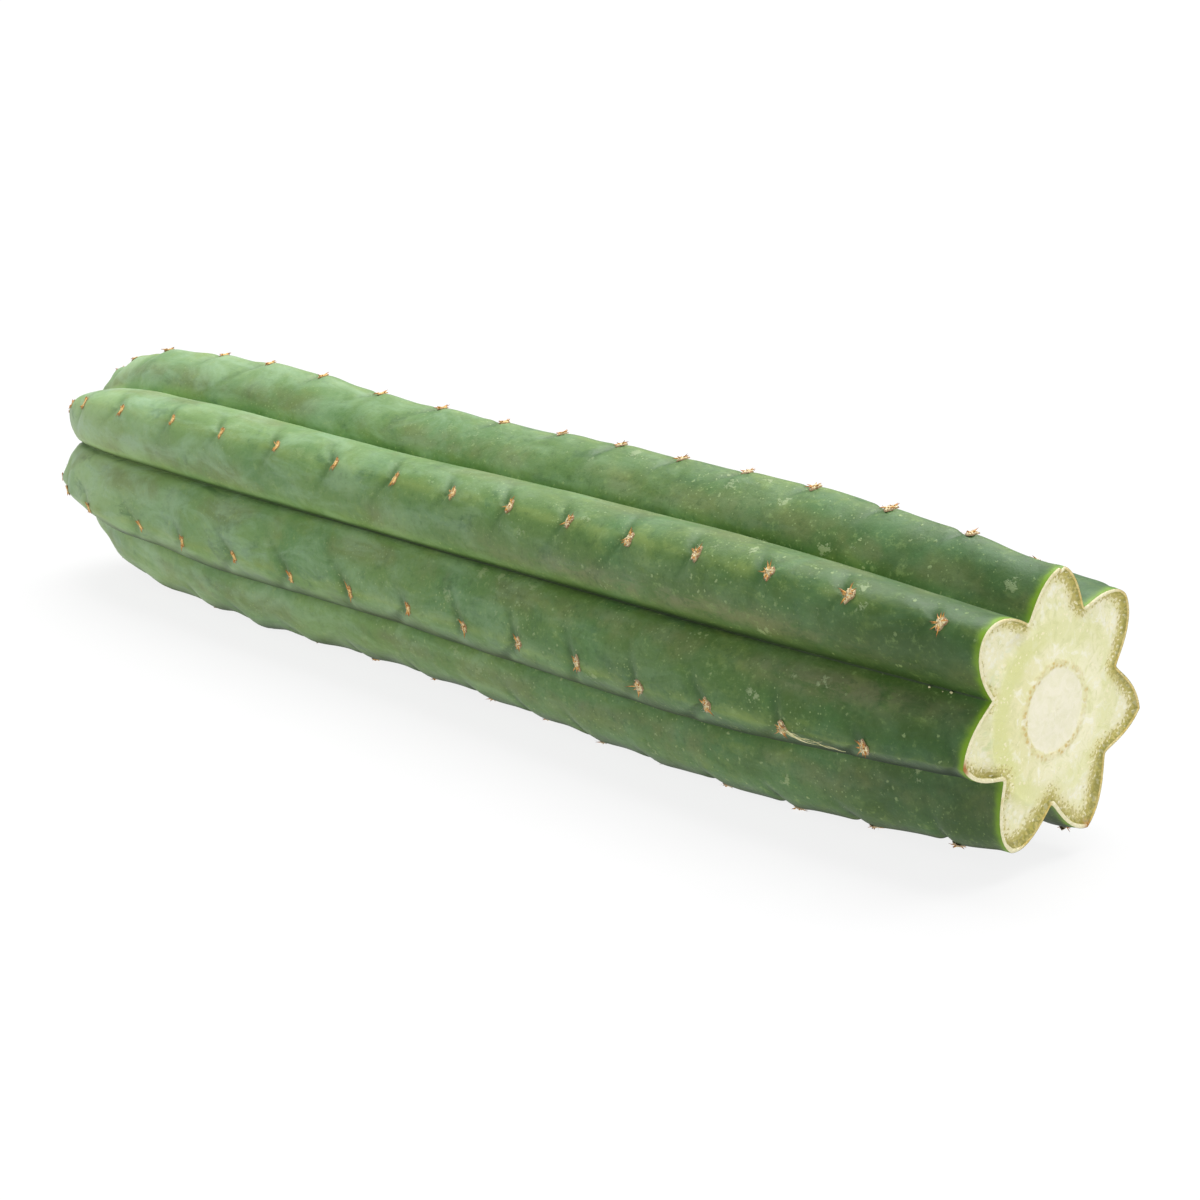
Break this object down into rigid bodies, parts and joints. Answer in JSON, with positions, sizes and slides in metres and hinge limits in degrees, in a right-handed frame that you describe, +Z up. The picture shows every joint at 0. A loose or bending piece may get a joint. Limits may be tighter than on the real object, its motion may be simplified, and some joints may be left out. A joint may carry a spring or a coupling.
{
  "type": "cut cactus stem",
  "caption": "Tip length of a ribbed column cactus stem, cut flat at one end and lying on its side, with a blunt ribbed tip and a pale star-shaped cut face.",
  "frame": {"origin": "middle of the bounding box's underside, on the ground that the stem lies on", "axes": "+X along the stem from the tip to the cut end, +Y to the right for someone facing the cut, +Z up"},
  "size_m": [0.4122, 0.0856, 0.088],
  "materials": {
    "stem": "matt waxy green skin, pale green-cream flesh on the cut"
  },
  "bodies": {
    "root": {"stem": "stem"}
  },
  "joints": []
}
